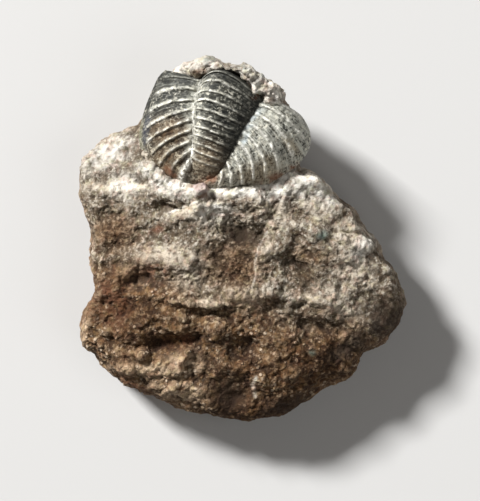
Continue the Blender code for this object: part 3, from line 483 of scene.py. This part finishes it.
def makeLimestoneBlock():
    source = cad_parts["matrix"]
    bm = bmesh.new()
    bm.from_mesh(source.data)
    bmesh.ops.remove_doubles(bm, verts=bm.verts, dist=0.001 * mm)
    addLumps(bm, block["nodules"], BVHTree.FromBMesh(bm), 0.0)
    both = bm.copy()
    both.from_mesh(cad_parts["trilobite"].data)
    addLumps(bm, block["lapping"], BVHTree.FromBMesh(both), -0.35)
    both.free()
    addSeam(bm)
    addLumps(bm, block["footNodules"], BVHTree.FromBMesh(bm), 0.5)
    rough = bpy.data.meshes.new("roughBlock")
    bm.to_mesh(rough)
    bm.free()
    carrier = bpy.data.objects.new("roughBlock", rough)
    bpy.context.scene.collection.objects.link(carrier)
    remesh = carrier.modifiers.new("evenFaces", "REMESH")
    remesh.mode = "VOXEL"
    remesh.voxel_size = block["voxel"] * mm * 1.0
    depsgraph = bpy.context.evaluated_depsgraph_get()
    even = bpy.data.meshes.new_from_object(carrier.evaluated_get(depsgraph))
    bpy.data.objects.remove(carrier)
    bm = bmesh.new()
    bm.from_mesh(even)
    loose = [v for v in bm.verts if v.co.z > 0.6 * mm]
    walls = [v for v in loose if abs(v.normal.z) < 0.55]
    for verts, rounds in ((walls, block["wallSmoothing"]), (loose, block["smoothing"])):
        for _ in range(rounds):
            bmesh.ops.smooth_vert(bm, verts=verts, factor=0.5, use_axis_x=True, use_axis_y=True, use_axis_z=True)
    bm.normal_update()
    shell = BVHTree.FromPolygons([v.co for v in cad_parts["trilobite"].data.vertices],
                                 [p.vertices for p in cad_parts["trilobite"].data.polygons])
    openSky = {v for v in bm.verts if v.co.z > block["fineAbove"] * mm and v.normal.z > 0.25
            and shell.ray_cast(v.co, Vector((0, 0, 1)))[0] is None}
    top = [e for e in bm.edges if all(v in openSky for v in e.verts)]
    bmesh.ops.subdivide_edges(bm, edges=top, cuts=1, use_grid_fill=True, smooth=0.4)
    bm.normal_update()
    print("block evened out:", len(bm.faces), "faces")
    moves, broad = [], []
    for v in bm.verts:
        x, y, z = v.co / mm
        rise, wide = roughStone(x, y, z, smoothStep(0.2, 0.7, v.normal.z), smoothStep(0.5, 0.05, v.normal.z))
        moves.append(v.normal * (rise * smoothStep(0.0, 2.5, z) * mm))
        broad.append(wide)
    slopes = [v.normal.z for v in bm.verts]
    for v, move in zip(bm.verts, moves):
        v.co += move
        v.co.z = max(v.co.z, 0.0)
    piece = finishPiece(bm, "limestoneBlock", "matrix", makeLimestoneMaterial())
    points, normals, ends = meshArrays(piece.data)
    near = ((relaxed(points, ends, 3) - points) * normals).sum(1) / mm
    far = ((relaxed(points, ends, 40) - points) * normals).sum(1) / mm
    marks = {name: [] for name in (
        "brownAndShade", "beige", "cream", "rust", "teal", "greyShade", "umber", "moss", "pink", "stain", "flecked", "specked",
        "hollow", "raised", "paintedShade")}
    glows = [strength * nearLine(points / mm, corners, width) for width, strength, corners in block["veins"]]
    veined = np.maximum.reduce(glows)
    for (x, y, z), slope, creased, sunk, wide, vein in zip(points / mm, slopes, near, far, broad, veined):
        top = smoothStep(-0.1, 0.4, slope)
        # the lower part, the steep sides and the listed brown patches turn browner and darker: partly the stone's
        # brown, partly painted shade where the light falls off
        low = smoothStep(-1, -10, y + 0.28 * (x + 20) + 3 * clump(x, y, 3, 7, 2))
        bare = smoothStep(2, 10, x) * smoothStep(-18, -6, y)
        brownAndShade = max(low, 0.9 * smoothStep(0.45, 0.0, slope) * smoothStep(24, 10, y) * (1 - 0.85 * bare),
                      0.75 * patch(x, y, block["brownAndShadeSpots"]))
        inHead = smoothStep(24, 28, y + 0.55 * x) * smoothStep(17, 20, z)
        broken = clump(x, y, z, 1.1, 3)
        # the cream mark: the pale head, the listed white patches and the veins; the white patches are partly painted
        # light
        white = max(0.7 * inHead * (0.6 + 1.5 * broken + 0.5 * smoothStep(0, 4, x)), 0.75 * patch(x, y, block["whiteAndLitSpots"]) * (0.8 + 0.8 * broken))
        white = max(white, vein * (1.05 + 0.8 * broken) * smoothStep(8, 10, z))
        # deep marks creases and sunken places; the hollow mark darkens them, partly the stone's dark brown fill and
        # partly painted shade
        deep = 5.0 * creased + 1.1 * sunk - 0.8 * wide * top - 0.08 - 0.45 * white
        # high marks ridges and raised points; the raised mark makes them paler, partly the paler crumb tops and partly
        # painted highlight
        high = -4.5 * creased - 0.8 * sunk + 0.45 * wide * top - 0.2
        marks["brownAndShade"].append(brownAndShade)
        marks["cream"].append(min(1.0, max(0.0, white)) * smoothStep(-0.2, 0.3, slope))
        # beige: partly the paler stone, partly painted light over the listed pale patches
        marks["beige"].append(0.85 * patch(x, y, block["paleAndLitSpots"]) * min(1.0, max(0.0, 0.8 + 1.2 * broken)))
        marks["rust"].append(0.7 * patch(x, y, block["rustSpots"]) * smoothStep(-0.5, 0.15, clump(x, y, z, 1.6, 3)))
        marks["greyShade"].append(0.8 * patch(x, y, block["greyShadeSpots"]))
        marks["umber"].append(0.85 * patch(x, y, block["umberSpots"]))
        marks["pink"].append(0.85 * smoothStep(0.1, 0.4, patch(x, y, block["pinkSpots"])))
        marks["moss"].append(0.85 * patch(x, y, block["mossSpots"]) * smoothStep(-0.3, 0.2, broken))
        marks["stain"].append(0.85 * patch(x, y, block["stainSpots"]) * smoothStep(-0.25, 0.25, broken))
        # painted shade: the listed patches and a darkening towards the bottom right stand in for shade
        marks["paintedShade"].append(0.8 * patch(x, y, block["paintedShadeSpots"]) + 0.5 * smoothStep(-14, -30, y + 0.5 * (22 - x)))
        marks["teal"].append(0.7 * patch(x, y, block["tealSpots"]))
        marks["flecked"].append((0.75 - 0.3 * brownAndShade) * top)
        marks["specked"].append(0.65 - 0.5 * min(1.0, max(0.0, white)))
        marks["hollow"].append(0.85 * min(1.0, max(0.0, deep)))
        marks["raised"].append((0.7 - 0.2 * brownAndShade) * min(1.0, max(0.0, high)))
    for name, values in marks.items():
        storeFloats(piece.data, name, values)
    print("limestone block made:", sum(len(p.vertices) - 2 for p in piece.data.polygons), "triangles")
    return piece


def shieldRow(row):
    names = ("leftMargin", "leftFurrow", "crest", "rightFurrow", "rightMargin", "heights", "bows")
    return {name: along(shield[name], row) for name in names}


def finePath(corners, steps):
    # points spread along straight stretches between the corners
    spots = []
    for start, end in zip(corners, corners[1:]):
        spots += [tuple(a + (b - a) * n / steps for a, b in zip(start, end)) for n in range(steps + 1)]
    return spots


def curved(start, through, end, share):
    # a bend from start to end that would pass through the given middle point
    return [(1 - share) ** 2 * a + 2 * share * (1 - share) * (2 * b - (a + c) / 2) + share**2 * c
            for a, b, c in zip(start, through, end)]


def shieldSpot(row, column, lines):
    # place and marks of one point: x, y, z, crest line, painted highlight on the slope before the crest, side (-1 left,
    # 0 axis, 1 right), share
    last, left, axis = shield["lastRow"], shield["leftColumns"], shield["axisColumns"]
    if left <= column <= left + axis:
        share = (column - left) / axis
        x, y = curved(lines["leftFurrow"], lines["crest"], lines["rightFurrow"], share)
        top, furrow = lines["heights"]
        arch = (1 - (2 * share - 1) ** 2) ** 0.75
        part = ridgePhase(row + 0.1 * clump(x, y, 1, 2.5, 2) - shield["ringSlant"] * (share - 0.4), 1.0, 0.0,
                          shield["ringCount"])
        fade = smoothStep(last - 0.5, last - 3.0, row) * min(1.0, 1.6 * arch)
        z = seatPlane(x, y) + furrow + (top - furrow) * arch + shield["ringRise"] * ridgeRise(part) * fade * (1 + 0.5 * clump(x, y, 4, 1.2, 2))
        return x, y, z, ridgeLine(part) * fade, ridgeHighlight(part) * fade, 0, share
    onLeft = column < left
    if onLeft:
        share = 1 - column / left
        start, end = Vector(lines["leftFurrow"]), Vector(lines["leftMargin"])
    else:
        share = (column - left - axis) / shield["rightColumns"]
        start, end = Vector(lines["rightFurrow"]), Vector(lines["rightMargin"])
    across = end - start
    forward = Vector((across.y, -across.x)) if onLeft else Vector((-across.y, across.x))
    middle = (start + end) / 2 + lines["bows"][0 if onLeft else 1] * forward
    spot = (1 - share) ** 2 * start + 2 * share * (1 - share) * middle + share**2 * end
    x, y = spot
    wander = 0.09 * clump(x, y, 7, 2.2, 2)
    part = ridgePhase(row + wander, shield["ribPeriod"], shield["ribFirstRow"], shield["ribCount"])
    fade = smoothStep(0.0, 0.07, share) * smoothStep(0.9, 0.8, share) * smoothStep(last - 0.2, last - 2.0, row)
    if onLeft:
        fade *= 0.45 + 0.55 * smoothStep(10.5, 15.0, y)
    height = lines["heights"][1] * (1 - share ** shield["cheekPower"]) ** 0.9
    z = seatPlane(x, y) + height + shield["ribRise"] * ridgeRise(part) * fade * (1 + 0.5 * clump(x, y, 4, 1.2, 2))
    return x, y, z, ridgeLine(part) * fade, ridgeHighlight(part) * fade, -1 if onLeft else 1, share


def makeShellMaterial():
    material, tree, shader = newMaterial("fossilShell")
    place = addNode(tree, "ShaderNodeTexCoord").outputs["Object"]
    patchy = ramped(tree, noiseAt(tree, place, 1.3, 6.0, 0.7), 0.38, 0.72)
    colour = tinted(tree, (0.008, 0.009, 0.008), (0.045, 0.044, 0.035), patchy)
    earth = ramped(tree, noiseAt(tree, place, 0.9, 5.0, 0.7, 0.03), 0.3, 0.7)
    colour = tinted(tree, colour, tinted(tree, (0.036, 0.021, 0.012), (0.165, 0.112, 0.068), earth),
                    attribute(tree, "earthy"))
    colour = tinted(tree, colour, (0.030, 0.034, 0.047), attribute(tree, "border"))
    colour = tinted(tree, colour, (0.15, 0.14, 0.085), attribute(tree, "olive"))
    litTone = ramped(tree, noiseAt(tree, place, 0.5, 4.0, 0.7, 0.017), 0.40, 0.58)
    # painted highlight: the lit mark pales the front slope of each ring and rib
    colour = tinted(tree, colour, (0.55, 0.54, 0.45), combined(tree, "MULTIPLY", litTone, attribute(tree, "lit")))
    mottled = ramped(tree, noiseAt(tree, place, 0.65, 5.0, 0.7, 0.09), 0.40, 0.54)
    blotches = ramped(tree, noiseAt(tree, place, 1.7, 4.0, 0.65, 0.13), 0.34, 0.54)
    mottled = combined(tree, "MULTIPLY", mottled, combined(tree, "MULTIPLY_ADD", blotches, 0.6, 0.4))
    worn = combined(tree, "MULTIPLY", attribute(tree, "worn"), mottled)
    colour = tinted(tree, colour, (0.54, 0.535, 0.46), worn)
    across, outward = attribute(tree, "rowPlace"), attribute(tree, "sharePlace")
    for slant, shift in ((0.0, 0.0), (1.1, 7.3), (-0.9, 3.1)):
        lean = combined(tree, "ADD", across, combined(tree, "MULTIPLY_ADD", outward, slant, shift))
        fan = addNode(tree, "ShaderNodeCombineXYZ", {"X": lean, "Y": outward, "Z": shift})
        streaks = addNode(tree, "ShaderNodeTexNoise", {"Vector": fan.outputs[0], "Scale": 1.0, "Detail": 3.0,
                                                       "Roughness": 0.6})
        marks = combined(tree, "MULTIPLY", ramped(tree, streaks.outputs["Fac"], 0.55, 0.66),
                         attribute(tree, "scratched"))
        colour = tinted(tree, colour, (0.66, 0.665, 0.585), marks)
    clusters = ramped(tree, noiseAt(tree, place, 2.2, 3.0, 0.6, 0.11), 0.36, 0.60)
    grit = ramped(tree, noiseAt(tree, place, 0.6, 3.0, 0.75, 0.05), 0.50, 0.62)
    grit = combined(tree, "MULTIPLY", grit, clusters)
    colour = tinted(tree, colour, (0.68, 0.65, 0.54), combined(tree, "MULTIPLY", grit, attribute(tree, "gritty")))
    pits = ramped(tree, noiseAt(tree, place, 0.8, 4.0, 0.75, 0.07), 0.53, 0.72)
    colour = tinted(tree, colour, (0.085, 0.074, 0.048), combined(tree, "MULTIPLY", pits, attribute(tree, "gritty")))
    colour = tinted(tree, colour, (0.85, 0.74, 0.61), attribute(tree, "earthy"), "MULTIPLY")
    chips = ramped(tree, noiseAt(tree, place, 0.6, 4.0, 0.75, 0.02), 0.40, 0.56)
    colour = tinted(tree, colour, (0.86, 0.84, 0.76), combined(tree, "MULTIPLY", attribute(tree, "pale"), chips))
    colour = tinted(tree, colour, (0.55, 0.61, 0.62), attribute(tree, "frosted"))
    colour = tinted(tree, colour, (0.22, 0.09, 0.045), attribute(tree, "rust"))
    tree.links.new(colour, shader.inputs["Base Color"])
    shader.inputs["Roughness"].default_value = 0.6
    shader.inputs["Specular IOR Level"].default_value = 0.22
    bumped(tree, shader, noiseAt(tree, place, 0.55, 4.0, 0.65), 0.7, 0.14)
    return material


def makeTailShield():
    columns = shield["leftColumns"] + shield["axisColumns"] + shield["rightColumns"]
    perRing = shield["rowsPerRing"] // 1
    rows = round((shield["lastRow"] - shield["frontRow"]) * perRing)
    lines = [shieldRow(shield["frontRow"] + n / perRing) for n in range(rows + 1)]
    bm = bmesh.new()
    bmesh.ops.create_grid(bm, x_segments=columns, y_segments=rows, size=0.5)
    marks = {name: bm.verts.layers.float.new(name) for name in (
        "pale", "worn", "border", "olive", "rust", "earthy", "gritty", "lit", "scratched", "frosted", "rowPlace", "sharePlace")}
    for v in bm.verts:
        n = rows - round((v.co.y + 0.5) * rows)
        row = shield["frontRow"] + n / perRing
        x, y, z, line, lit, side, share = shieldSpot(row, round((v.co.x + 0.5) * columns), lines[n])
        broken = 0.6 + 1.1 * clump(x, y, 2, 0.9, 3)
        pale = line * broken
        furrow = 0.75 * broken * smoothStep(10.5, 8.5, row)
        worn, gritty, scratched = 0.12, 0.6, 0.12
        if side == -1:
            pale = max(pale, furrow * bell(share, 0.045 + 0.09 * smoothStep(1.0, -2.0, row)))
            worn = max(0.8 * smoothStep(0.2, 0.02, share), 0.15 * smoothStep(17.0, 12.0, y))
            gritty = 0.5 + 0.25 * smoothStep(20.0, 14.0, y)
        elif side == 0:
            pale = max(pale * smoothStep(1.1, 0.4, share), furrow * bell(share, 0.07))
            worn = (0.8 - 0.3 * smoothStep(3.0, 7.0, row)) * smoothStep(0.45, 0.05, share) * smoothStep(-1.0, 2.5, row)
            worn = max(worn, 0.35 * smoothStep(7.5, 10.0, row) * smoothStep(1.0, 0.6, share))
            gritty = 0.85 * smoothStep(1.2, 0.35, share) * smoothStep(-1.0, 3.0, row) + 0.1
            scratched = 0.06
        else:
            pale = 1.4 * line * (0.8 + 0.7 * clump(x, y, 2, 0.9, 3))
            worn = 0.82 * smoothStep(-0.02, 0.08, share)
            gritty = 0.95 - 0.65 * min(1.0, max(line, 0.0))
            scratched = 0.75 * smoothStep(0.0, 0.1, share)
        if side:
            pale = max(pale, 0.9 * smoothStep(0.86, 1.0, share) * smoothStep(4.5, 7.0, row) * broken)
        tail = min((Vector((x, y)) - Vector(spot)).length for spot in finePath(shield["tailLine"], 8))
        seam = bell(tail, 0.45) * smoothStep(18.0, 15.5, y)
        plain = 1 - 0.8 * patch(x, y, shield["plainSpots"])
        if side == -1:
            plain *= 0.35 + 0.65 * smoothStep(11.0, 15.0, y)
        v[marks["pale"]] = min(1.0, max(pale * plain, seam * (1.0 + broken), 0.0))
        v[marks["worn"]] = worn * (plain if y > 20 else 1.0)
        # painted highlight on the front slopes of the rings and ribs; on the axis it fades out towards the right flank,
        # which is turned from the lamp
        v[marks["lit"]] = lit * plain * (0.8 if side < 1 else 0.95) * (smoothStep(1.2, 0.45, share) if side == 0 else 1.0)
        v[marks["gritty"]] = gritty * (plain if y > 20 else 1.0)
        v[marks["scratched"]] = scratched
        v[marks["border"]] = 0.85 * smoothStep(0.25, 0.7, patch(x, y, shield["borderSpot"])) * (side == -1)
        v[marks["earthy"]] = 0.85 * patch(x, y, shield["earthySpots"])
        v[marks["frosted"]] = 0.7 * patch(x, y, shield["frostedSpots"]) * (side == 1) * max(0, broken)
        v[marks["rust"]] = 0.75 * patch(x, y, shield["rustSpots"]) * min(1.0, max(0.0, 1.3 * broken))
        v[marks["olive"]] = 0.8 * smoothStep(0.9, 0.97, share) * (side == -1) * smoothStep(22.0, 20.0, y)
        v[marks["rowPlace"]] = row * 5.5 + 30 * side
        v[marks["sharePlace"]] = share * 3.0
        z += shield["pitting"] * clump(x, y, z, 0.7, 3) + shield["wear"] * gritty * clump(x, y, 3, 1.7, 3) + 0.2 * seam
        v.co = Vector((x, y, z)) * mm
    bmesh.ops.remove_doubles(bm, verts=bm.verts, dist=0.01 * mm)
    under = bmesh.ops.extrude_face_region(bm, geom=bm.faces[:])["geom"]
    for v in (g for g in under if isinstance(g, bmesh.types.BMVert)):
        v.co.z = (vaultHeight(v.co.x / mm, v.co.y / mm) + 0.02) * mm
    bmesh.ops.recalc_face_normals(bm, faces=bm.faces)
    piece = finishPiece(bm, "tailShield", "trilobite", makeShellMaterial())
    print("tail shield made:", len(piece.data.polygons), "faces")
    return piece


studio = {
    "middle": (-0.36, -1.98, 15.0), "distance": 600.0, "seenHeight": 90.2,
    "keyPlace": (-1360, 1210, 1330), "keyPower": 108.0, "keySize": 380,
    "fillPlace": (300, -160, 420), "fillPower": 0.7, "fillSize": 420,
    "floorColour": (0.56, 0.555, 0.545), "skyColour": (1.0, 0.93, 0.85), "skyStrength": 0.08,
}


def addLight(name, place, power, size):
    light = bpy.data.lights.new(name, "AREA")
    light.energy, light.size = power, size * mm
    holder = bpy.data.objects.new(name, light)
    holder.location = Vector(place) * mm
    holder.rotation_euler = (Vector((0, 0, 10)) - Vector(place)).to_track_quat("-Z", "Y").to_euler()
    bpy.context.scene.collection.objects.link(holder)


def makeStudio():
    bm = bmesh.new()
    bmesh.ops.create_grid(bm, x_segments=1, y_segments=1, size=1.2)
    floorMesh = bpy.data.meshes.new("floor")
    bm.to_mesh(floorMesh)
    bm.free()
    floor = bpy.data.objects.new("floor", floorMesh)
    bpy.context.scene.collection.objects.link(floor)
    material, tree, shader = newMaterial("paleFloor")
    shader.inputs["Base Color"].default_value = (*studio["floorColour"], 1)
    shader.inputs["Roughness"].default_value = 1.0
    shader.inputs["Specular IOR Level"].default_value = 0.0
    floorMesh.materials.append(material)
    addLight("keyLight", studio["keyPlace"], studio["keyPower"], studio["keySize"])
    addLight("fillLight", studio["fillPlace"], studio["fillPower"], studio["fillSize"])
    world = bpy.data.worlds.new("studioSky")
    world.use_nodes = True
    sky = world.node_tree.nodes["Background"]
    sky.inputs[0].default_value = (*studio["skyColour"], 1)
    sky.inputs[1].default_value = studio["skyStrength"]
    bpy.context.scene.world = world
    camera = bpy.data.cameras.new("camera")
    camera.sensor_fit = "VERTICAL"
    camera.sensor_height = 36
    camera.lens = 36 * studio["distance"] / studio["seenHeight"]
    camera.clip_end = 10
    holder = bpy.data.objects.new("camera", camera)
    holder.location = (Vector(studio["middle"]) + Vector((0, 0, studio["distance"]))) * mm
    bpy.context.scene.collection.objects.link(holder)
    bpy.context.scene.camera = holder
    bpy.context.scene.view_settings.view_transform = "Standard"
    print("studio set")


makeStudio()
makeLimestoneBlock()
makeTailShield()
